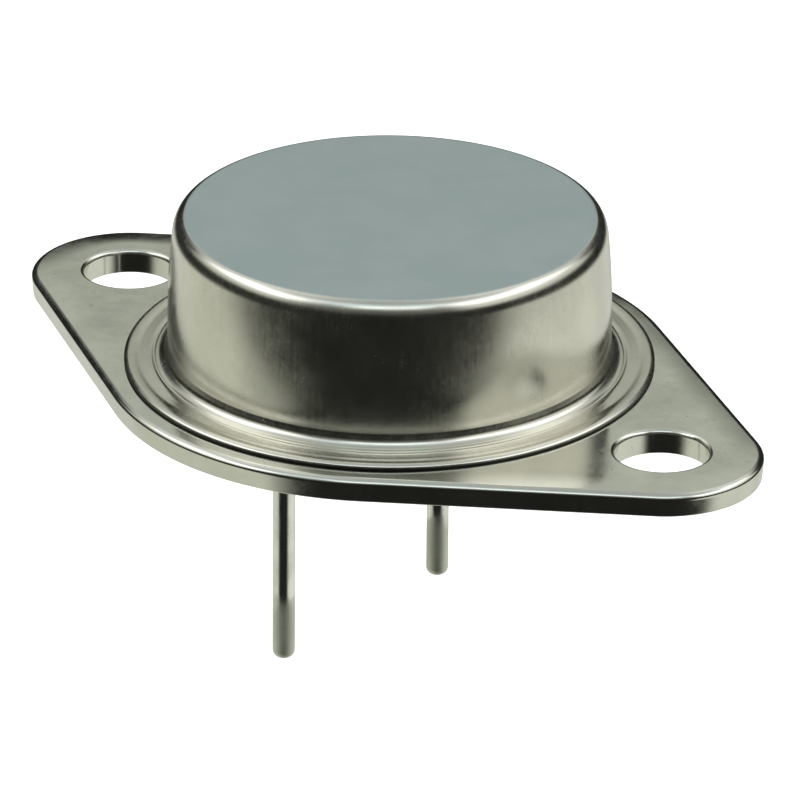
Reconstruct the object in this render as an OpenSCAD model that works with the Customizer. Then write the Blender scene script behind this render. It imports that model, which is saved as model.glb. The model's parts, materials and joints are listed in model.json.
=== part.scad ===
// Power transistor in a two-lead metal can with a diamond flange.
// The origin is midway between the mounting holes, on the underside of the flange.
// +X runs through the mounting holes, +Z points to the cap and the leads point down.

/* [Flange] */
// Thickness of the flange
flange_t = 1.1; // [0.9:0.05:2]
// Margin of flange outside the cap's brim, at the middle
flange_margin = 0.95; // [0.5:0.05:2]
// Diameter of each mounting hole
hole_d = 4.1; // [3.2:0.05:5]
// Metal between the cap's brim and the edge of each mounting hole
hole_gap = 1.325; // [0.8:0.025:5]
// Metal around each mounting hole, out to the rounded end of the flange
end_wall = 2.37; // [1.5:0.01:4]
// Roundness of the punched top edge along the outline
edge_r = 0.25; // [0.1:0.05:0.4]
// Roundness of the punched top edge around each mounting hole
hole_edge_r = 0.2; // [0.1:0.05:0.4]

/* [Cap] */
// Height from the underside of the flange to the top of the cap
total_h = 7.9; // [6.4:0.05:11]
// Radius of the can at its foot, before it flares out
can_r = 9.78; // [8.2:0.02:12]
// How far the side leans in from foot to shoulder
can_draft = 0.26; // [0:0.02:0.6]
// Outer radius of the round shoulder
shoulder_r = 0.6; // [0.5:0.05:1.2]
// Thickness of the drawn sheet
sheet_t = 0.4; // [0.25:0.05:0.5]
// Radius of the flare at the foot
foot_r = 0.45; // [0.3:0.05:0.8]
// Thickness of the pressed brim
brim_t = 0.25; // [0.15:0.05:0.4]
// Width of the brim, from the foot of the can to its edge
brim_w = 1.92; // [1.6:0.02:3]
// Width of the ring that the welding electrode presses into the brim
weld_w = 0.8; // [0.3:0.05:0.9]
// Depth of that ring
weld_depth = 0.04; // [0.02:0.01:0.08]

/* [Leads] */
// Diameter of each lead
lead_d = 1; // [0.8:0.02:1.3]
// Length of each lead below the flange
lead_l = 12; // [8:0.1:15]
// Distance between the two leads
lead_pitch = 10.92; // [9:0.02:13.2]
// Offset of the leads from the middle, towards one mounting hole
lead_offset = 1.5; // [0.5:0.05:2.2]
// Length of the rounding at the free end of a lead
lead_tip = 0.35; // [0.2:0.05:0.4]
// Radius of the flattened head at the inner end of a lead
head_r = 0.85; // [0.8:0.05:1.2]
// Thickness of that head
head_t = 0.3; // [0.2:0.05:0.5]
// How much a lead's radius grows from the flange's underside to its head, from being headed
upset = 0.05; // [0.02:0.01:0.1]
// Diameter of the glass seal around each lead
seal_d = 3.3; // [2.4:0.05:3.6]
// Depth of the hollow in each face of a glass seal
meniscus = 0.14; // [0.05:0.01:0.2]

/* [Chip] */
// Side of the square silicon chip
die_w = 4.6; // [3.6:0.1:5]
// Thickness of the chip
die_t = 0.25; // [0.2:0.01:0.4]
// Distance of the chip's centre from the middle, away from the leads
die_x = 0.8; // [0:0.05:1.2]
// Thickness of the copper heat spreader
spreader_t = 1.2; // [0.8:0.05:2]
// Copper beyond the chip, at each end of the heat spreader
spreader_end = 2.5; // [1:0.1:3]
// Clearance between the heat spreader and the seals
spreader_gap = 0.4; // [0.2:0.05:0.8]
// Corner radius of the heat spreader
spreader_corner = 0.6; // [0.2:0.1:1]
// Thickness of the braze and solder films
joint_t = 0.05; // [0.03:0.01:0.1]
// How far each film runs out beyond the piece on top of it
joint_run = 0.15; // [0.05:0.05:0.18]

/* [Bond wires] */
// Diameter of the base wire
base_wire_d = 0.25; // [0.15:0.05:0.4]
// Diameter of each emitter wire
emitter_wire_d = 0.3; // [0.2:0.05:0.4]
// Distance between the two emitter wires
emitter_wire_gap = 0.7; // [0.62:0.02:0.9]
// Slope of a wire where it leaves its foot, in degrees
wire_slope = 50; // [30:1:65]
// Length of the flattened foot of a wire
wire_foot_l = 0.6; // [0.4:0.05:0.7]
// Distance from the chip's edge to the middle of a foot
wire_inset = 1; // [0.7:0.05:1.3]

/* [Hidden] */

// Facets of large, middling and small rounds
big_fn = 144;
mid_fn = 72;
small_fn = 36;
// Facets of the hull's rounds, and of its rounded edge
hull_fn = 96;
roll_fn = 20;
// Reach of a cutter beyond the face that it cuts
over = 0.5;

// Flange
brim_r = can_r + brim_w;
middle_r = brim_r + flange_margin;
hole_r = hole_d / 2;
hole_x = brim_r + hole_gap + hole_r;
end_r = hole_r + end_wall;

// Can: the side leans by this angle, and its outer line lies this far from the origin
lean = atan(can_draft / (total_h - flange_t));
brim_z = flange_t + brim_t;
side_k = can_r * cos(lean) + (brim_z + foot_r) * sin(lean);
shoulder_z = total_h - shoulder_r;
shoulder_x = (side_k - shoulder_r - shoulder_z * sin(lean)) / cos(lean);
foot_z = brim_z + foot_r;
foot_x = (side_k + foot_r - foot_z * sin(lean)) / cos(lean);
// Inside of the can
inner_k = side_k - sheet_t;
inner_shoulder_r = shoulder_r - sheet_t;
bend_r = foot_r;
bend_z = flange_t + bend_r;
bend_x = (inner_k + bend_r - bend_z * sin(lean)) / cos(lean);
weld_r = (foot_x + brim_r) / 2;

// Leads and seals
lead_r = lead_d / 2;
lead_x = -lead_offset;
lead_y = lead_pitch / 2;
seal_r = seal_d / 2;

// Stack under the chip
spreader_z = flange_t + joint_t;
solder_z = spreader_z + spreader_t;
die_z = solder_z + joint_t;
die_top = die_z + die_t;
spreader_l = die_w + 2 * spreader_end;
spreader_w = 2 * (lead_y - seal_r - spreader_gap);

// Bond wires: where the feet lie on the chip
pad_x = die_x - wire_inset;
pad_y = die_w / 2 - wire_inset;
// Thickness and width of a foot, and height of the wire's end above the chip, in wire diameters
foot_flat = 0.6;
foot_wide = 1.5;
heel_lift = 0.1;

// Radius of the leaning line k of the can at a height, and of a lead's inner part
function line_x(k, z) = (k - z * sin(lean)) / cos(lean);
function shank_r(z) = lead_r + upset * z / (die_top - head_t);

// ---- flange ----

// Disc with the rounded top edge that a press tool leaves
module rounded_disc(r) {
    rotate_extrude($fn = hull_fn) {
        square([r - edge_r, flange_t]);
        square([r, flange_t - edge_r]);
        intersection() {
            translate([r - edge_r, flange_t - edge_r]) circle(r = edge_r, $fn = roll_fn);
            square([r, flange_t]);
        }
    }
}

module flange_blank() {
    hull() {
        rounded_disc(middle_r);
        for (side = [-1, 1])
            translate([side * hole_x, 0, 0]) rounded_disc(end_r);
    }
}

// Hole with the rounded edge that a punch leaves on the side it enters
module punched_hole(r, roll) {
    translate([0, 0, -over]) cylinder(r = r, h = flange_t + 2 * over, $fn = mid_fn);
    rotate_extrude($fn = mid_fn)
        translate([r + roll, flange_t - roll])
            difference() {
                translate([-roll - over, 0]) square([roll + over, roll + over]);
                circle(r = roll, $fn = small_fn);
            }
}

module header() {
    color("#a9aca2")
        difference() {
            flange_blank();
            for (side = [-1, 1]) {
                translate([side * hole_x, 0, 0]) punched_hole(hole_r, hole_edge_r);
                translate([lead_x, side * lead_y, -over])
                    cylinder(r = seal_r, h = flange_t + 2 * over, $fn = mid_fn);
            }
        }
}

// ---- cap ----

// Half section of the can with no hollow
module can_outside() {
    polygon([
        [0, flange_t], [brim_r, flange_t], [brim_r, brim_z], [line_x(side_k, brim_z), brim_z],
        [shoulder_x + shoulder_r * cos(lean), shoulder_z + shoulder_r * sin(lean)],
        [shoulder_x, total_h], [0, total_h]
    ]);
    translate([shoulder_x, shoulder_z]) circle(r = shoulder_r, $fn = mid_fn);
    difference() {
        polygon([
            [line_x(side_k, brim_z), brim_z], [foot_x, brim_z], [foot_x, foot_z],
            [foot_x - foot_r * cos(lean), foot_z - foot_r * sin(lean)]
        ]);
        translate([foot_x, foot_z]) circle(r = foot_r, $fn = mid_fn);
    }
}

// Half section of the hollow, with the bend that spreads it at the foot
module can_inside() {
    polygon([
        [0, flange_t], [line_x(inner_k, flange_t), flange_t],
        [shoulder_x + inner_shoulder_r * cos(lean), shoulder_z + inner_shoulder_r * sin(lean)],
        [shoulder_x, shoulder_z + inner_shoulder_r], [0, shoulder_z + inner_shoulder_r]
    ]);
    translate([shoulder_x, shoulder_z]) circle(r = inner_shoulder_r, $fn = mid_fn);
    difference() {
        polygon([
            [line_x(inner_k, flange_t), flange_t], [bend_x, flange_t], [bend_x, bend_z],
            [bend_x - bend_r * cos(lean), bend_z - bend_r * sin(lean)]
        ]);
        translate([bend_x, bend_z]) circle(r = bend_r, $fn = mid_fn);
    }
}

module cap() {
    color("#b4bdb9")
        rotate_extrude($fn = big_fn)
            difference() {
                can_outside();
                can_inside();
                translate([weld_r - weld_w / 2, brim_z - weld_depth]) square([weld_w, over]);
            }
}

// ---- leads and seals ----

// Half section: rounded free end, straight free part, tapered inner part and flat head
module lead_section() {
    tip_x = lead_r - lead_tip;
    tip_z = -lead_l + lead_tip;
    translate([0, -lead_l]) square([tip_x, lead_tip]);
    intersection() {
        translate([tip_x, tip_z]) circle(r = lead_tip, $fn = small_fn);
        translate([tip_x, -lead_l]) square(lead_tip);
    }
    polygon([
        [0, tip_z], [lead_r, tip_z], [lead_r, 0], [shank_r(die_top - head_t), die_top - head_t],
        [head_r, die_top - head_t], [head_r, die_top], [0, die_top]
    ]);
}

module lead(side) {
    translate([lead_x, side * lead_y, 0]) rotate_extrude($fn = mid_fn) lead_section();
}

module base_lead() {
    color("#b0b09a") lead(1);
}

module emitter_lead() {
    color("#b0b09a") lead(-1);
}

// The glass climbs the lead and the wall of its hole, so that each face is a round trough
module seal(side) {
    trough = (seal_r - lead_r) / 2;
    trough_r = (trough * trough + meniscus * meniscus) / (2 * meniscus);
    middle = lead_r + trough;
    translate([lead_x, side * lead_y, 0])
        rotate_extrude($fn = mid_fn)
            difference() {
                polygon([[lead_r, 0], [seal_r, 0], [seal_r, flange_t], [shank_r(flange_t), flange_t]]);
                for (z = [meniscus - trough_r, flange_t - meniscus + trough_r])
                    translate([middle, z]) circle(r = trough_r, $fn = big_fn);
            }
}

module base_seal() {
    color("#3d4a44") seal(1);
}

module emitter_seal() {
    color("#3d4a44") seal(-1);
}

// ---- stack under the chip ----

module rounded_plate(l, w, corner, z, t) {
    translate([die_x, 0, z])
        linear_extrude(t) {
            square([l - 2 * corner, w], center = true);
            square([l, w - 2 * corner], center = true);
            for (x = [-1, 1], y = [-1, 1])
                translate([x * (l / 2 - corner), y * (w / 2 - corner)])
                    circle(r = corner, $fn = small_fn);
        }
}

module heat_spreader() {
    color("#b87345") rounded_plate(spreader_l, spreader_w, spreader_corner, spreader_z, spreader_t);
}

module spreader_braze() {
    run = 2 * joint_run;
    color("#c9b98a")
        rounded_plate(spreader_l + run, spreader_w + run, spreader_corner, flange_t, joint_t);
}

module die_solder() {
    run = 2 * joint_run;
    color("#9a9a9c") rounded_plate(die_w + run, die_w + run, joint_run, solder_z, joint_t);
}

module die() {
    color("#5a5f66")
        translate([die_x - die_w / 2, -die_w / 2, die_z]) cube([die_w, die_w, die_t]);
}

// ---- bond wires ----

// Flattened foot that lies on the plane of the chip and the heads
module wire_foot(d) {
    width = foot_wide * d;
    straight = wire_foot_l - width;
    linear_extrude(foot_flat * d) {
        square([max(straight, 0), width], center = true);
        for (end = [-1, 1])
            translate([end * max(straight, 0) / 2, 0]) circle(d = width, $fn = small_fn);
    }
}

// Wire that arches from the chip to the head of the lead on one side
module bond_wire(side, d, shift) {
    from = [pad_x, side * pad_y];
    to = [lead_x, side * lead_y];
    span = norm(to - from);
    arch_r = span / (2 * sin(wire_slope));
    heel_z = d * (heel_lift + cos(wire_slope) / 2);
    translate([(from[0] + to[0]) / 2, (from[1] + to[1]) / 2, die_top])
        rotate([0, 0, atan2(to[1] - from[1], to[0] - from[0])])
            translate([0, shift, 0]) {
                translate([0, 0, heel_z - arch_r * cos(wire_slope)])
                    rotate([90, 0, 0])
                        rotate([0, 0, 90 - wire_slope])
                            rotate_extrude(angle = 2 * wire_slope, $fn = big_fn)
                                translate([arch_r, 0]) circle(d = d, $fn = small_fn);
                for (end = [-1, 1])
                    translate([end * span / 2, 0, 0]) wire_foot(d);
            }
}

module base_wire() {
    color("#c4c6c8") bond_wire(1, base_wire_d, 0);
}

module emitter_wire_1() {
    color("#c4c6c8") bond_wire(-1, emitter_wire_d, -emitter_wire_gap / 2);
}

module emitter_wire_2() {
    color("#c4c6c8") bond_wire(-1, emitter_wire_d, emitter_wire_gap / 2);
}

header();
cap();
base_lead();
emitter_lead();
base_seal();
emitter_seal();
heat_spreader();
spreader_braze();
die_solder();
die();
base_wire();
emitter_wire_1();
emitter_wire_2();
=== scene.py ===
import json
import math

import bmesh
import bpy
from mathutils import Matrix, Vector
from mathutils.geometry import delaunay_2d_cdt


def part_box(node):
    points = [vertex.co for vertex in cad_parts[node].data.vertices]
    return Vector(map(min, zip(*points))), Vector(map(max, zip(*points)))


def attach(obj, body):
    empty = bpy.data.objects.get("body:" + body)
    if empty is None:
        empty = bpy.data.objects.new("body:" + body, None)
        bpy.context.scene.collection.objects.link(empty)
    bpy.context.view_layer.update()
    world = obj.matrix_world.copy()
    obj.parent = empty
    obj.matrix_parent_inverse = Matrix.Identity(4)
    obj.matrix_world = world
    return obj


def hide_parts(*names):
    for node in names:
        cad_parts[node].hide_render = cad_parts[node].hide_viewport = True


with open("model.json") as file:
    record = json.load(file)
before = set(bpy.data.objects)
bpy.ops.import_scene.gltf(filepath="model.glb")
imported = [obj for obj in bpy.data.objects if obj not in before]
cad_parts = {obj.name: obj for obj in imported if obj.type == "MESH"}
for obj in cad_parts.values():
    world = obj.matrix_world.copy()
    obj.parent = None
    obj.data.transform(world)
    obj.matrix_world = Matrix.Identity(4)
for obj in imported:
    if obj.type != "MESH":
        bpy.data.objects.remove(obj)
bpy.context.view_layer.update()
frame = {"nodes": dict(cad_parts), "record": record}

# Lengths in this script are in millimetres until a mesh is made.
MM = 0.001

# ---------------------------------------------------------------- sizes from the frame


def box_mm(node):
    low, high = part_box(node)
    return low / MM, high / MM


HEADER_HIGH = box_mm("header")[1]
CAP_HIGH = box_mm("cap")[1]
LEAD_LOW, LEAD_HIGH = box_mm("base_lead")
SEAL_LOW, SEAL_HIGH = box_mm("base_seal")
MOUNTS = {m["name"]: m for m in frame["record"]["mounts"]}

# Flange: outline, holes, and the roll and slight fall of its punched edge.
FLANGE_T = HEADER_HIGH.z
HOLE_X = abs(MOUNTS["screw_hole_2"]["pos_m"][0]) / MM
HOLE_R = 2.05
END_R = HEADER_HIGH.x - HOLE_X
MIDDLE_R = HEADER_HIGH.y
ROLL_W = 0.38
ROLL_D = 0.26
CAMBER_W = 1.2
CAMBER_D = 0.042
HOLE_EDGE_R = 0.2
CORNER_BREAK = 0.04
EDGE_TAPER = 0.07
LEAD_X = (LEAD_LOW.x + LEAD_HIGH.x) / 2
LEAD_Y = (LEAD_LOW.y + LEAD_HIGH.y) / 2
SEAL_R = (SEAL_HIGH.y - SEAL_LOW.y) / 2

# Cap: drawn side with a little draft and bulge, round shoulder, flared foot.
TOP_Z = CAP_HIGH.z
CAN_R = 9.78
CAN_DRAFT = 0.26
BULGE = 0.08
SHOULDER_R = 0.6
SHOULDER_H = 0.95
SHEET_T = 0.4
FOOT_R = 0.45
FLARE_H = 0.21
FLARE_DEG = 12

# Brim: crevice at the foot, shallow weld trough with ripples, rolled edge.
BRIM_R = CAP_HIGH.x
BRIM_T = 0.25
BRIM_ROLL_W = 0.26
BRIM_ROLL_D = 0.15
UNDER_EDGE_R = 0.03
CREVICE_W = 0.26
CREVICE_DEPTH = 0.022
WELD_W = 0.8
WELD_DEPTH = 0.022
RIPPLE = 0.0028
RIPPLES = 2

# Leads: round tip outside, nail head inside, tinned below TIN_Z.
LEAD_R = 0.5
LEAD_TIP = 0.35
LEAD_END = LEAD_LOW.z
LEAD_TOP = LEAD_HIGH.z
HEAD_R = (LEAD_HIGH.y - LEAD_LOW.y) / 2
HEAD_T = 0.3
UPSET = 0.05
TIN_Z = -9.0

# Mesh fineness: steps round a circle, and how close a support loop sits to a curve.
CAP_SEGMENTS = 256
HOLE_SEGMENTS = 96
LEAD_SEGMENTS = 64
SUPPORT = 0.02
# Triangles of less than this doubled area in mm2 are dropped.
SLIVER = 1e-4

# ---------------------------------------------------------------- mesh helpers


def make_object(name, bm, material):
    """Object from a bmesh in millimetres, smooth but for the edges marked sharp."""
    bmesh.ops.recalc_face_normals(bm, faces=bm.faces)
    mesh = bpy.data.meshes.new(name)
    bmesh.ops.scale(bm, vec=(MM, MM, MM), verts=bm.verts)
    for face in bm.faces:
        face.smooth = True
    bm.to_mesh(mesh)
    bm.free()
    piece = bpy.data.objects.new(name, mesh)
    bpy.context.scene.collection.objects.link(piece)
    piece.data.materials.append(material)
    return piece


def arc(cx, cz, radius, start, end, steps):
    """Points of an arc, with angles in degrees from +r towards +z."""
    points = []
    for i in range(steps + 1):
        a = math.radians(start + (end - start) * i / steps)
        points.append((cx + radius * math.cos(a), cz + radius * math.sin(a)))
    return points


def line(a, b, steps, tight=0.0):
    """Points of a straight run, with one more close to each end so that flat faces shade flat."""
    length = math.hypot(b[0] - a[0], b[1] - a[1])
    shares = [i / steps for i in range(steps + 1)]
    if 0 < tight < length / 3:
        shares += [tight / length, 1 - tight / length]
    return [(a[0] + (b[0] - a[0]) * s, a[1] + (b[1] - a[1]) * s) for s in sorted(shares)]


def lathe(name, runs, centre, segments, material):
    """Closed solid of revolution. Each run is smooth, and a sharp edge lies between two runs."""
    bm = bmesh.new()
    rings = []
    sharp = []
    for run in runs:
        for i, (r, z) in enumerate(run):
            if rings and math.hypot(r - rings[-1][0], z - rings[-1][1]) < 1e-5:
                if i == 0:
                    sharp.append(len(rings) - 1)
                continue
            rings.append((r, z))
    if math.hypot(rings[0][0] - rings[-1][0], rings[0][1] - rings[-1][1]) < 1e-5:
        rings.pop()
        sharp.append(0)
    closed = rings[0][0] > 1e-6
    made = []
    for r, z in rings:
        if r < 1e-6:
            made.append([bm.verts.new((centre[0], centre[1], z))])
            continue
        turn = []
        for k in range(segments):
            a = 2 * math.pi * k / segments
            turn.append(bm.verts.new((centre[0] + r * math.cos(a), centre[1] + r * math.sin(a), z)))
        made.append(turn)
    pairs = list(zip(made, made[1:])) + ([(made[-1], made[0])] if closed else [])
    for a, b in pairs:
        for k in range(segments):
            n = (k + 1) % segments
            if len(a) == 1 and len(b) > 1:
                bm.faces.new((a[0], b[n], b[k]))
            elif len(b) == 1 and len(a) > 1:
                bm.faces.new((a[k], a[n], b[0]))
            elif len(a) > 1:
                bm.faces.new((a[k], a[n], b[n], b[k]))
    for i in sharp:
        ring = made[i]
        if len(ring) > 1:
            for k in range(segments):
                edge = bm.edges.get((ring[k], ring[(k + 1) % segments]))
                edge.smooth = False
    return make_object(name, bm, material)


# ---------------------------------------------------------------- node helpers


class Nodes:
    """Short way to write a node tree."""

    def __init__(self, tree):
        self.tree = tree
        tree.nodes.clear()

    def add(self, kind, settings=None, **inputs):
        made = self.tree.nodes.new(kind)
        for key, value in (settings or {}).items():
            setattr(made, key, value)
        for key, value in inputs.items():
            self.feed(made, key.replace("_", " "), value)
        return made

    def feed(self, made, key, value):
        socket = made.inputs[int(key)] if key.isdigit() else made.inputs[key]
        if isinstance(value, bpy.types.NodeSocket):
            self.tree.links.new(value, socket)
        else:
            socket.default_value = value

    def math(self, operation, a, b=0.0):
        made = self.tree.nodes.new("ShaderNodeMath")
        made.operation = operation
        self.feed(made, "0", a)
        self.feed(made, "1", b)
        return made.outputs[0]

    def span(self, value, low, high, to_low=0.0, to_high=1.0, smooth=True):
        made = self.tree.nodes.new("ShaderNodeMapRange")
        made.interpolation_type = "SMOOTHSTEP" if smooth else "LINEAR"
        for key, v in (("Value", value), ("From Min", low), ("From Max", high)):
            self.feed(made, key, v)
        self.feed(made, "To Min", to_low)
        self.feed(made, "To Max", to_high)
        return made.outputs["Result"]

    def mix(self, share, a, b):
        made = self.tree.nodes.new("ShaderNodeMix")
        made.data_type = "RGBA"
        self.feed(made, "0", share)
        self.feed(made, "6", a)
        self.feed(made, "7", b)
        return made.outputs[2]

    def ramp(self, value, stops):
        made = self.tree.nodes.new("ShaderNodeValToRGB")
        ramp = made.color_ramp
        while len(ramp.elements) < len(stops):
            ramp.elements.new(0.5)
        for element, (place, colour) in zip(ramp.elements, stops):
            element.position = place
            element.color = colour if len(colour) == 4 else (*colour, 1)
        self.feed(made, "Fac", value)
        return made.outputs["Color"]

    def noise(self, vector, scale, detail=2.0, rough=0.5, stretch=None):
        if stretch:
            vector = self.add("ShaderNodeVectorMath", {"operation": "MULTIPLY"},
                              **{"0": vector, "1": stretch}).outputs[0]
        made = self.add("ShaderNodeTexNoise", Vector=vector, Scale=scale, Detail=detail, Roughness=rough)
        return made.outputs["Fac"]


def new_material(name):
    material = bpy.data.materials.new(name)
    material.use_nodes = True
    nodes = Nodes(material.node_tree)
    shader = nodes.add("ShaderNodeBsdfPrincipled")
    out = nodes.add("ShaderNodeOutputMaterial")
    material.node_tree.links.new(shader.outputs[0], out.inputs[0])
    where = nodes.add("ShaderNodeTexCoord").outputs["Object"]
    where = nodes.add("ShaderNodeVectorMath", {"operation": "SCALE"}, **{"0": where, "Scale": 1 / MM})
    return material, nodes, shader, where.outputs[0]


def plated(name, light, dark, rough, rough_spread, waves=1.0, streaks=0.0, speckle=0.3,
           patch_scale=0.22, extra=None):
    """Plated metal: cloudy tint, cloudy roughness, fine grain, shallow waves and a few dark specks."""
    material, n, shader, where = new_material(name)
    cloud = n.noise(where, patch_scale, 3.0, 0.6)
    fine = n.noise(where, 6.0, 3.0, 0.6)
    tint = n.mix(n.span(cloud, 0.3, 0.7), dark, light)
    specks = n.noise(where, 3.2, 2.0, 0.5)
    spots = n.span(specks, 0.70, 0.78, 0.0, speckle)
    colour = n.mix(spots, tint, tuple(c * 0.55 for c in dark[:3]) + (1,))
    smudge = n.noise(where, 0.5, 4.0, 0.65)
    roughness = n.math("ADD", n.span(smudge, 0.25, 0.75, rough - rough_spread, rough + rough_spread),
                       n.span(fine, 0.3, 0.7, -0.02, 0.02))
    roughness = n.math("ADD", roughness, n.math("MULTIPLY", spots, 0.3))
    height = n.math("MULTIPLY", n.noise(where, 0.35, 1.0), 0.012 * waves)
    height = n.math("ADD", height, n.math("MULTIPLY", n.noise(where, 14.0, 2.0), 0.00045))
    height = n.math("SUBTRACT", height, n.math("MULTIPLY", spots, 0.003))
    if streaks:
        lines = n.noise(where, 1.0, 3.0, 0.6, stretch=(9.0, 9.0, 0.25))
        height = n.math("ADD", height, n.math("MULTIPLY", lines, 0.0009 * streaks))
        roughness = n.math("ADD", roughness, n.span(lines, 0.3, 0.7, -0.03 * streaks, 0.03 * streaks))
    if extra:
        colour, roughness, height = extra(n, where, colour, roughness, height)
    bump = n.add("ShaderNodeBump", Strength=1.0, Distance=MM, Height=height)
    shader.inputs["Metallic"].default_value = 1.0
    n.feed(shader, "Base Color", colour)
    n.feed(shader, "Roughness", n.math("MAXIMUM", roughness, 0.05))
    n.feed(shader, "Normal", bump.outputs[0])
    return material


# ---------------------------------------------------------------- materials


def cap_zones(n, where, colour, roughness, height):
    """The can's top is etched satin and bluish, and painted shade darkens the crevice under the brim's edge,
    standing in for the shadow in that gap.
    """
    facing = n.add("ShaderNodeSeparateXYZ", Vector=n.add("ShaderNodeNewGeometry").outputs["Normal"])
    level = n.add("ShaderNodeSeparateXYZ", Vector=where)
    top = n.math("MULTIPLY", n.span(facing.outputs["Z"], 0.96, 0.998),
                 n.span(level.outputs["Z"], TOP_Z - 1, TOP_Z - 0.5))
    frost = n.noise(where, 22.0, 2.0, 0.6)
    cloud = n.noise(where, 0.3, 3.0, 0.6)
    satin = n.mix(n.span(cloud, 0.3, 0.7), (0.60, 0.70, 0.73, 1), (0.65, 0.74, 0.76, 1))
    colour = n.mix(top, colour, satin)
    frosted = n.span(frost, 0.25, 0.75, 0.34, 0.42)
    roughness = n.math("ADD", n.math("MULTIPLY", roughness, n.math("SUBTRACT", 1.0, top)),
                       n.math("MULTIPLY", frosted, top))
    height = n.math("ADD", height, n.math("MULTIPLY", n.math("MULTIPLY", frost, top), 0.0012))
    across = n.add("ShaderNodeCombineXYZ", X=level.outputs["X"], Y=level.outputs["Y"])
    radius = n.add("ShaderNodeVectorMath", {"operation": "LENGTH"},
                   **{"0": across.outputs[0]}).outputs["Value"]
    # Painted shade: the crevice under the brim's edge is coloured near black, standing in for the shadow in
    # the gap; its roughness is raised as well.
    painted_crevice_shade = n.math("MULTIPLY", n.span(radius, BRIM_R - 0.06, BRIM_R - 0.02),
                  n.span(level.outputs["Z"], FLANGE_T + 0.06, FLANGE_T + 0.14, 1.0, 0.0))
    colour = n.mix(painted_crevice_shade, colour, (0.03, 0.03, 0.027, 1))
    roughness = n.math("ADD", roughness, n.math("MULTIPLY", painted_crevice_shade, 0.2))
    return colour, roughness, height


cap_metal = plated("cap_metal", (0.72, 0.70, 0.62, 1), (0.64, 0.63, 0.56, 1), 0.22, 0.04,
                   waves=0.4, streaks=0.6, speckle=0.02, extra=cap_zones)
flange_metal = plated("flange_metal", (0.70, 0.70, 0.63, 1), (0.60, 0.60, 0.54, 1), 0.15, 0.05,
                      waves=1.0, speckle=0.35)


def lead_zones(n, where, colour, roughness, height):
    """The lower end of a lead is tinned, duller than the plating above."""
    level = n.add("ShaderNodeSeparateXYZ", Vector=where).outputs["Z"]
    ragged = n.math("ADD", level, n.span(n.noise(where, 1.2, 2.0), 0.3, 0.7, -0.25, 0.25))
    tinned = n.span(ragged, TIN_Z - 0.7, TIN_Z + 0.7, 1.0, 0.0)
    tin = n.mix(n.noise(where, 2.0, 2.0), (0.80, 0.83, 0.70, 1), (0.92, 0.93, 0.84, 1))
    colour = n.mix(tinned, colour, tin)
    roughness = n.math("ADD", roughness, n.math("MULTIPLY", tinned, 0.45))
    return colour, roughness, height


lead_plating = plated("lead_plating", (0.82, 0.83, 0.77, 1), (0.68, 0.69, 0.63, 1), 0.17, 0.05,
                      waves=0.3, streaks=1.0, speckle=0.3, patch_scale=0.6, extra=lead_zones)


def simple_material(name, light, dark, rough, metallic=1.0, bump=1.0, scale=3.0, coat=0.0):
    material, n, shader, where = new_material(name)
    cloud = n.noise(where, scale, 4.0, 0.6)
    n.feed(shader, "Base Color", n.mix(n.span(cloud, 0.3, 0.7), dark, light))
    n.feed(shader, "Roughness", n.span(n.noise(where, scale * 2.3, 3.0), 0.3, 0.7, rough * 0.75, rough * 1.3))
    height = n.math("MULTIPLY", n.noise(where, scale * 4.0, 3.0), 0.004 * bump)
    n.feed(shader, "Normal", n.add("ShaderNodeBump", Strength=1.0, Distance=MM, Height=height).outputs[0])
    shader.inputs["Metallic"].default_value = metallic
    shader.inputs["Coat Weight"].default_value = coat
    return material


glass = simple_material("seal_glass", (0.030, 0.052, 0.047, 1), (0.016, 0.028, 0.026, 1), 0.08,
                        metallic=0.0, bump=0.5, scale=1.6, coat=0.5)
copper = simple_material("copper", (0.86, 0.46, 0.30, 1), (0.70, 0.34, 0.21, 1), 0.3, scale=1.2)
braze = simple_material("braze", (0.78, 0.72, 0.54, 1), (0.62, 0.55, 0.38, 1), 0.38, scale=2.5, bump=2.0)
solder = simple_material("solder", (0.55, 0.55, 0.56, 1), (0.40, 0.40, 0.41, 1), 0.35, scale=2.5, bump=2.0)
silicon = simple_material("silicon", (0.25, 0.27, 0.32, 1), (0.16, 0.17, 0.21, 1), 0.15, metallic=0.6)
wire_metal = simple_material("wire_metal", (0.86, 0.87, 0.88, 1), (0.74, 0.75, 0.76, 1), 0.25, scale=6.0)

for node, finish in (("base_seal", glass), ("emitter_seal", glass), ("heat_spreader", copper),
                     ("spreader_braze", braze), ("die_solder", solder), ("die", silicon),
                     ("base_wire", wire_metal), ("emitter_wire_1", wire_metal),
                     ("emitter_wire_2", wire_metal)):
    owner = frame["nodes"][node]
    owner.data.materials.clear()
    owner.data.materials.append(finish)

# ---------------------------------------------------------------- header


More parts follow.
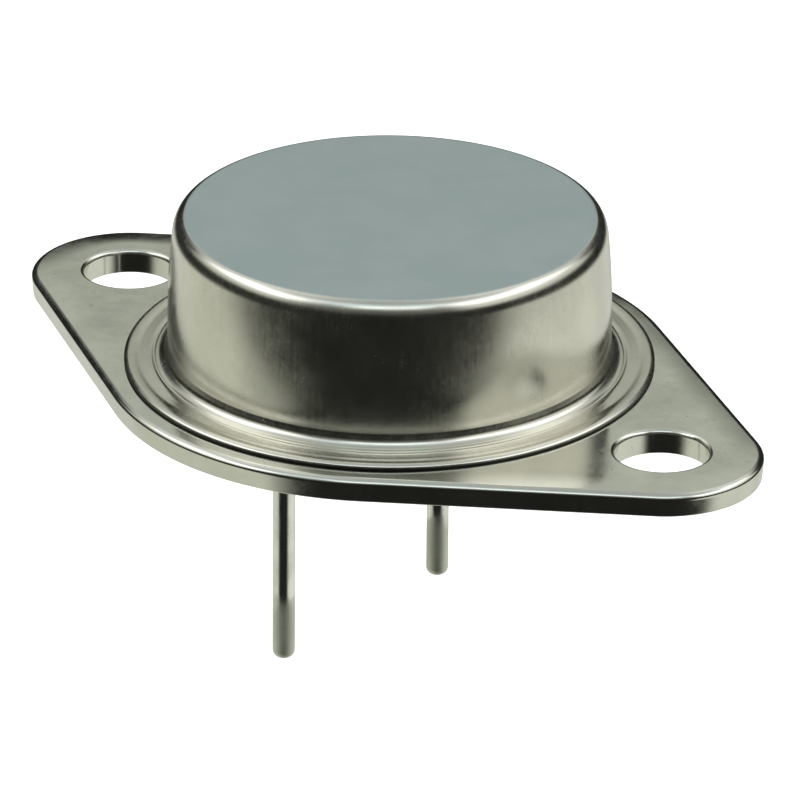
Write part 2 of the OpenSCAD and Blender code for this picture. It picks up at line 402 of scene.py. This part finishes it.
class Shell:
    """Closed mesh with a stated normal at each corner, so that flat and rolled faces meet smoothly."""

    def __init__(self):
        self.points, self.faces, self.normals = [], [], []

    def ring(self, loop, z):
        start = len(self.points)
        self.points += [(p.x, p.y, z) for p in loop]
        return list(range(start, len(self.points)))

    def face(self, corners, normals):
        self.faces.append(corners)
        self.normals += normals

    def wall(self, make_loop, levels, facing):
        """Strips between levels, each (inset, z, normal for the strip above, normal for the strip below).

        A normal is (outward share, upward share). Facing is 1 on the outside and -1 in a hole.
        """
        away = [(p - q).normalized() * facing for p, q in zip(make_loop(0), make_loop(facing))]
        rings = [self.ring(make_loop(inset), z) for inset, z, _, _ in levels]
        for i in range(len(rings) - 1):
            upper, lower = rings[i], rings[i + 1]
            tilt_a, tilt_b = levels[i][3], levels[i + 1][2]
            for k in range(len(upper)):
                n = (k + 1) % len(upper)
                corners = [upper[k], lower[k], lower[n], upper[n]]
                tilts = [(k, tilt_a), (k, tilt_b), (n, tilt_b), (n, tilt_a)]
                if facing < 0:
                    corners, tilts = corners[::-1], tilts[::-1]
                self.face(corners, [Vector((away[j].x * t[0], away[j].y * t[0], t[1])) for j, t in tilts])
        return rings[0], rings[-1]

    def fill(self, loops, up):
        """Flat face between an outer loop and the round loops of its holes."""
        holes = []
        for loop in loops[1:]:
            ring = [Vector(self.points[i][:2]) for i in loop]
            centre = sum(ring, Vector((0, 0))) / len(ring)
            holes.append((centre, (ring[0] - centre).length))
        back = [i for loop in loops for i in loop]
        edges, start = [], 0
        for loop in loops:
            edges += [(start + k, start + (k + 1) % len(loop)) for k in range(len(loop))]
            start += len(loop)
        flat = [Vector(self.points[i][:2]) for i in back]
        places, _, faces, origins, _, _ = delaunay_2d_cdt(flat, edges, [], 0, 1e-7)
        for corners in faces:
            middle = sum((places[i] for i in corners), Vector((0, 0))) / len(corners)
            if any((middle - c).length < r for c, r in holes):
                continue
            (ax, ay), (bx, by), (cx, cy) = (places[i] for i in corners[:3])
            turn = (bx - ax) * (cy - ay) - (by - ay) * (cx - ax)
            if abs(turn) < SLIVER:
                continue
            ids = [back[origins[i][0]] for i in corners]
            self.face(ids if (turn > 0) == up else ids[::-1], [Vector((0, 0, 1 if up else -1))] * len(ids))

    def make(self, name, material):
        mesh = bpy.data.meshes.new(name)
        mesh.from_pydata([tuple(c * MM for c in p) for p in self.points], [], self.faces)
        mesh.polygons.foreach_set("use_smooth", [True] * len(mesh.polygons))
        mesh.normals_split_custom_set([n.normalized() for n in self.normals])
        mesh.materials.append(material)
        piece = bpy.data.objects.new(name, mesh)
        bpy.context.scene.collection.objects.link(piece)
        return piece


def outline(inset, middle_steps=72, end_steps=48, straight_steps=12):
    """Flange outline moved in by inset, anticlockwise."""
    tangent = math.acos((MIDDLE_R - END_R) / HOLE_X)
    turns = ((HOLE_X, END_R, -tangent, tangent, end_steps),
             (0, MIDDLE_R, tangent, math.pi - tangent, middle_steps),
             (-HOLE_X, END_R, math.pi - tangent, math.pi + tangent, end_steps),
             (0, MIDDLE_R, math.pi + tangent, 2 * math.pi - tangent, middle_steps))
    loop = []
    for cx, radius, start, end, steps in turns:
        for i in range(steps + 1):
            a = start + (end - start) * i / steps
            loop.append(Vector((cx + (radius - inset) * math.cos(a), (radius - inset) * math.sin(a))))
        loop.append(None)
    whole = []
    for i, p in enumerate(loop):
        if p is not None:
            whole.append(p)
            continue
        q, n = loop[i - 1], loop[(i + 1) % len(loop)]
        whole += [q.lerp(n, k / straight_steps) for k in range(1, straight_steps)]
    return whole


def circle_loop(cx, cy, radius, count):
    """Anticlockwise circle."""
    angles = [2 * math.pi * k / count for k in range(count)]
    return [Vector((cx + radius * math.cos(a), cy + radius * math.sin(a))) for a in angles]


def rolled_levels(width, depth, breaks, camber=(0, 0), taper=0.0, steps=10, support=0.04):
    """Levels of a punched edge: slightly falling top, roll of that width and depth, side, broken corner.

    Camber is the width and the depth of the fall, and taper is how far the side leans in at its foot.
    """
    slope = (0.7, -0.7)
    reach, sag = camber
    fall = 2 * sag / reach if sag else 0
    levels = []
    camber_steps = 6 if sag else 1
    for i in range(camber_steps):
        share = i / camber_steps
        tilt = (fall * share, 1)
        levels.append((width + support + reach * (1 - share), FLANGE_T - sag * share ** 2, tilt, tilt))
    start = math.atan(fall * width / depth)
    for i in range(steps + 1):
        a = start + (math.pi / 2 - start) * i / steps
        tilt = (math.sin(a) / width, math.cos(a) / depth)
        levels.append((width * (1 - math.sin(a)), FLANGE_T - sag - depth * (1 - math.cos(a)), tilt, tilt))
    side = (1, -taper / (levels[-1][1] - breaks))
    levels.append((0.1 * taper, levels[-1][1] - 0.1 * (levels[-1][1] - breaks), side, side))
    levels.append((taper, breaks, side, slope))
    levels.append((taper + breaks * 0.7, 0, slope, slope))
    return levels


def build_header():
    shell = Shell()
    tops, bottoms = [], []

    def add(make_loop, levels, facing):
        top, bottom = shell.wall(make_loop, levels, facing)
        tops.append(top)
        bottoms.append(bottom)

    edge = rolled_levels(ROLL_W, ROLL_D, CORNER_BREAK, (CAMBER_W, CAMBER_D), EDGE_TAPER)
    add(outline, edge, 1)
    for side in (-1, 1):
        mouth = rolled_levels(HOLE_EDGE_R, HOLE_EDGE_R, CORNER_BREAK)
        add(lambda inset, s=side: circle_loop(s * HOLE_X, 0, HOLE_R + inset, HOLE_SEGMENTS), mouth, -1)
        straight = [(0, FLANGE_T, (1, 0), (1, 0)), (0, 0, (1, 0), (1, 0))]
        add(lambda inset, s=side: circle_loop(LEAD_X, s * LEAD_Y, SEAL_R + inset, HOLE_SEGMENTS),
            straight, -1)
    shell.fill(tops, True)
    shell.fill(bottoms, False)
    return shell.make("flange", flange_metal)


flange = build_header()
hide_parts("header")
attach(flange, "root")

# ---------------------------------------------------------------- cap


def build_cap():
    lean = math.atan(CAN_DRAFT / (TOP_Z - FLANGE_T))
    lean_deg = math.degrees(lean)
    swell = math.degrees(4 * BULGE / (TOP_Z - FLANGE_T - SHOULDER_H - BRIM_T - FOOT_R))

    def bulged(a, b, steps):
        points = line(a, b, steps, 0.03)
        height = a[1] - b[1]
        return [(r + 4 * BULGE * (z - b[1]) * (a[1] - z) / height ** 2, z) for r, z in points]

    brim_z = FLANGE_T + BRIM_T
    side_k = CAN_R * math.cos(lean) + (brim_z + FOOT_R) * math.sin(lean)

    def line_x(z):
        return (side_k - z * math.sin(lean)) / math.cos(lean)

    shoulder_z = TOP_Z - SHOULDER_H
    shoulder_x = line_x(shoulder_z) - SHOULDER_R
    turn_in = math.atan(math.tan(math.radians(lean_deg + swell)) * SHOULDER_H / SHOULDER_R)
    shoulder = [(shoulder_x + SHOULDER_R * math.cos(a), shoulder_z + SHOULDER_H * math.sin(a))
                for a in (math.pi / 2 + (turn_in - math.pi / 2) * i / 24 for i in range(25))]
    inner_z = TOP_Z - SHOULDER_R
    flare = math.radians(FLARE_DEG)
    foot_z = brim_z + FOOT_R
    flare_z = foot_z - FOOT_R * math.sin(flare) + FLARE_H
    foot_x = line_x(flare_z) + FLARE_H * math.tan(flare) + FOOT_R * math.cos(flare)
    inner_k = side_k - SHEET_T
    inner_r = SHOULDER_R - SHEET_T
    bend_z = FLANGE_T + FOOT_R
    bend_x = (inner_k + FOOT_R - bend_z * math.sin(lean)) / math.cos(lean)
    weld_r = (foot_x + CREVICE_W + BRIM_R - BRIM_ROLL_W) / 2
    edge = UNDER_EDGE_R
    roll = [(BRIM_R - BRIM_ROLL_W * (1 - math.sin(a)), brim_z - BRIM_ROLL_D * (1 - math.cos(a)))
            for a in (math.pi / 2 * i / 10 for i in range(11))]

    foot = [(line_x(flare_z), flare_z)] + arc(foot_x, foot_z, FOOT_R, 180 + FLARE_DEG, 270, 16)
    run = line((0, TOP_Z), shoulder[0], 8, 0.03)
    run += shoulder
    run += bulged(shoulder[-1], foot[0], 14)
    run += line(foot[0], foot[1], 2, SUPPORT)[:-1] + foot[1:]
    trough = []
    for i in range(41):
        turn = 2 * math.pi * i / 40
        ripple = RIPPLE * math.sin(RIPPLES * turn) * math.sin(turn / 2)
        dip = WELD_DEPTH * (0.5 - 0.5 * math.cos(turn)) + ripple
        trough.append((weld_r + WELD_W * (i / 40 - 0.5), brim_z - dip))
    crevice = [(foot_x + CREVICE_W * i / 16, brim_z - CREVICE_DEPTH * (0.5 - 0.5 * math.cos(math.pi * i / 8)))
               for i in range(17)]
    run += crevice[1:] + line(crevice[-1], trough[0], 2, SUPPORT)[1:]
    run += trough[1:] + line(trough[-1], roll[0], 2, SUPPORT)[1:]
    run += roll[1:] + [(BRIM_R, FLANGE_T + edge)]
    under = arc(BRIM_R - edge, FLANGE_T + edge, edge, 0, -90, 4)
    run += under
    bottom = line(under[-1], (bend_x, FLANGE_T), 3)
    bend = arc(bend_x, bend_z, FOOT_R, 270, 180 + lean_deg, 8)
    inner = arc(shoulder_x, inner_z, inner_r, lean_deg, 90, 6)
    inside = bottom + bend + line(bend[-1], inner[0], 6) + inner + line(inner[-1], (0, inner_z + inner_r), 4)
    return lathe("cap_shell", [run + inside], (0, 0), CAP_SEGMENTS, cap_metal)


cap_shell = build_cap()
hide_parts("cap")
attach(cap_shell, "root")

# ---------------------------------------------------------------- leads


def build_lead(name, side):
    def shank(z):
        return LEAD_R + UPSET * z / (LEAD_TOP - HEAD_T)

    tip = arc(LEAD_R - LEAD_TIP, LEAD_END + LEAD_TIP, LEAD_TIP, -90, 0, 8)
    neck_z = LEAD_TOP - HEAD_T
    runs = [
        line((0, LEAD_END), tip[0], 1, SUPPORT) + tip + line(tip[-1], (LEAD_R, 0), 16, SUPPORT)
        + line((LEAD_R, 0), (shank(neck_z), neck_z), 3),
        line((shank(neck_z), neck_z), (HEAD_R, neck_z), 1),
        line((HEAD_R, neck_z), (HEAD_R, LEAD_TOP), 1),
        line((HEAD_R, LEAD_TOP), (0, LEAD_TOP), 2),
    ]
    return lathe(name, runs, (LEAD_X, side * LEAD_Y), LEAD_SEGMENTS, lead_plating)


for name, node, side in (("base_pin", "base_lead", 1), ("emitter_pin", "emitter_lead", -1)):
    pin = build_lead(name, side)
    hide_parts(node)
    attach(pin, "root")

# ---------------------------------------------------------------- camera

VIEW_AZIMUTH = math.radians(38.675)
VIEW_ELEVATION = math.radians(24.686)
VIEW_ROLL = math.radians(0.479)
VIEW_DISTANCE = 0.3606
VIEW_TURN = (math.radians(0.0758), math.radians(-0.1404))

forward = Vector((-math.sin(VIEW_AZIMUTH) * math.cos(VIEW_ELEVATION),
                  math.cos(VIEW_AZIMUTH) * math.cos(VIEW_ELEVATION), -math.sin(VIEW_ELEVATION)))
level = Vector((math.cos(VIEW_AZIMUTH), math.sin(VIEW_AZIMUTH), 0))
upward = level.cross(forward)
right = math.cos(VIEW_ROLL) * level + math.sin(VIEW_ROLL) * upward
up = -math.sin(VIEW_ROLL) * level + math.cos(VIEW_ROLL) * upward
position = -VIEW_DISTANCE * forward
aim = (forward + math.tan(VIEW_TURN[0]) * right + math.tan(VIEW_TURN[1]) * up).normalized()
right = (right - right.dot(aim) * aim).normalized()
up = right.cross(aim)

camera_data = bpy.data.cameras.new("camera")
camera_data.sensor_width = 36
camera_data.lens = 367.4
camera_data.clip_start = 0.01
camera_data.clip_end = 20
camera = bpy.data.objects.new("camera", camera_data)
bpy.context.scene.collection.objects.link(camera)
camera.matrix_world = Matrix((
    (right.x, up.x, -aim.x, position.x),
    (right.y, up.y, -aim.y, position.y),
    (right.z, up.z, -aim.z, position.z),
    (0, 0, 0, 1),
))
bpy.context.scene.camera = camera

# ---------------------------------------------------------------- surroundings

world = bpy.data.worlds.new("studio")
bpy.context.scene.world = world
world.use_nodes = True
w = Nodes(world.node_tree)
direction = w.add("ShaderNodeTexCoord").outputs["Generated"]
toward = Vector((math.sin(VIEW_AZIMUTH), -math.cos(VIEW_AZIMUTH), 0))


def along(axis):
    return w.add("ShaderNodeVectorMath", {"operation": "DOT_PRODUCT"},
                 **{"0": direction, "1": tuple(axis)}).outputs["Value"]


front, sideways, height = along(toward), along(level), along(Vector((0, 0, 1)))
elevation = w.math("MULTIPLY", w.math("ARCSINE", height), 180 / math.pi)
azimuth = w.math("MULTIPLY", w.math("ARCTAN2", sideways, front), 180 / math.pi)
around = w.math("ABSOLUTE", azimuth)
STRENGTH = 4.0


def sky(stops):
    """Colour by elevation in degrees; values are radiance."""
    share = w.span(elevation, -90.0, 90.0, smooth=False)
    return w.ramp(share, [((e + 90) / 180, tuple(c / STRENGTH for c in colour)) for e, colour in stops])


# One ramp for each side of the studio. FRONT is behind the camera. The azimuth is 0 there and
# grows to the right.
DARK = (0.016, 0.017, 0.015)
TOP = (0.5, 0.54, 0.54)
FRONT = sky([(-90, (0.2, 0.2, 0.18)), (-55, (0.06, 0.06, 0.055)), (-40, DARK), (11, DARK),
             (22, (0.11, 0.115, 0.105)), (31, (0.13, 0.14, 0.13)),
             (39, (0.36, 0.4, 0.38)), (48, (0.45, 0.49, 0.48)), (55, (0.86, 1.05, 1.15)),
             (64, (0.86, 1.05, 1.15)), (76, TOP), (90, TOP)])
LEFT = sky([(-90, (0.4, 0.39, 0.33)), (-50, (0.70, 0.73, 0.63)), (-15, (0.70, 0.73, 0.63)), (-9, DARK),
            (13, DARK), (20, (0.6, 0.62, 0.55)), (31, (0.8, 0.82, 0.78)), (37, (2.05, 2.1, 2.15)),
            (51, (2.05, 2.1, 2.15)), (59, (0.7, 0.75, 0.76)), (78, TOP), (90, TOP)])
RIGHT = sky([(-90, (0.4, 0.4, 0.36)), (-50, (0.80, 0.82, 0.74)), (-15, (0.80, 0.82, 0.74)), (-9, DARK),
             (10, DARK), (17, (0.75, 0.77, 0.7)), (30, (0.9, 0.92, 0.88)), (37, (1.85, 1.9, 1.95)),
             (51, (1.85, 1.9, 1.95)), (59, (0.7, 0.75, 0.76)), (78, TOP), (90, TOP)])
QUARTER = sky([(-90, (0.4, 0.4, 0.36)), (-50, (0.7, 0.72, 0.66)), (-15, (0.7, 0.72, 0.66)), (-9, DARK),
               (27, DARK), (39, (0.9, 0.92, 0.9)), (62, (0.9, 0.92, 0.9)), (78, TOP), (90, TOP)])
BACK = sky([(-90, (0.3, 0.3, 0.27)), (-50, (0.5, 0.5, 0.46)), (-17, (0.5, 0.5, 0.46)), (-11, DARK),
            (19.5, DARK), (24, (0.6, 0.635, 0.56)), (45, (0.62, 0.65, 0.61)), (70, TOP), (90, TOP)])
# The dark part in front is narrow near the table and wide near the horizon.
spread = w.math("MULTIPLY", w.span(elevation, -30.0, -16.0, 0.88, 1.6),
                w.span(elevation, 8.0, 18.0, 1.0, 0.62))
widened = w.math("DIVIDE", azimuth, spread)
# Close to the table it reaches further round on the right.
low = w.span(elevation, -37.0, -31.0, 2.1, 1.0)
right_side = w.span(w.math("DIVIDE", widened, low), 30.0, 48.0)
lit = w.mix(w.span(widened, -64.0, -42.0), LEFT, w.mix(right_side, FRONT, RIGHT))
lit = w.mix(w.span(around, 122.0, 138.0), lit, QUARTER)
lit = w.mix(w.span(around, 160.0, 170.0), lit, BACK)
rays = w.add("ShaderNodeLightPath").outputs["Is Camera Ray"]
shown = w.add("ShaderNodeBackground", Color=(1, 1, 1, 1), Strength=1.0)
lighting = w.add("ShaderNodeBackground", Color=lit, Strength=STRENGTH)
choice = w.add("ShaderNodeMixShader", **{"0": rays, "1": lighting.outputs[0], "2": shown.outputs[0]})
w.add("ShaderNodeOutputWorld", Surface=choice.outputs[0])

# ---------------------------------------------------------------- floor

floor_mesh = bpy.data.meshes.new("floor")
reach = 3.0
floor_z = -0.05
floor_mesh.from_pydata([(-reach, -reach, floor_z), (reach, -reach, floor_z), (reach, reach, floor_z),
                        (-reach, reach, floor_z)], [], [(0, 1, 2, 3)])
floor = bpy.data.objects.new("floor", floor_mesh)
bpy.context.scene.collection.objects.link(floor)
floor_material = bpy.data.materials.new("floor_paper")
floor_material.use_nodes = True
f = Nodes(floor_material.node_tree)
paper = f.add("ShaderNodeBsdfPrincipled", Roughness=0.9)
paper.inputs["Base Color"].default_value = (0.9, 0.9, 0.9, 1)
paper.inputs["Emission Color"].default_value = (1, 1, 1, 1)
paper.inputs["Emission Strength"].default_value = 0.7
clear = f.add("ShaderNodeBsdfTransparent")
below = f.add("ShaderNodeNewGeometry").outputs["Backfacing"]
both = f.add("ShaderNodeMixShader", **{"0": below, "1": paper.outputs[0], "2": clear.outputs[0]})
f.add("ShaderNodeOutputMaterial", Surface=both.outputs[0])
floor_mesh.materials.append(floor_material)
floor.visible_glossy = False
floor.visible_diffuse = False
floor.visible_transmission = False
floor.visible_shadow = False

# ---------------------------------------------------------------- light and picture

key_data = bpy.data.lights.new("key_softbox", "AREA")
key_data.shape = "RECTANGLE"
key_data.size = 0.5
key_data.size_y = 0.2
key_data.energy = 0.3
key = bpy.data.objects.new("key_softbox", key_data)
bpy.context.scene.collection.objects.link(key)
key.location = (toward * math.cos(math.radians(50)) + Vector((0, 0, math.sin(math.radians(50))))) * 0.8
key.rotation_mode = "QUATERNION"
key.rotation_quaternion = key.location.to_track_quat("Z", "Y")

bpy.context.scene.view_settings.view_transform = "Standard"
bpy.context.scene.view_settings.look = "None"
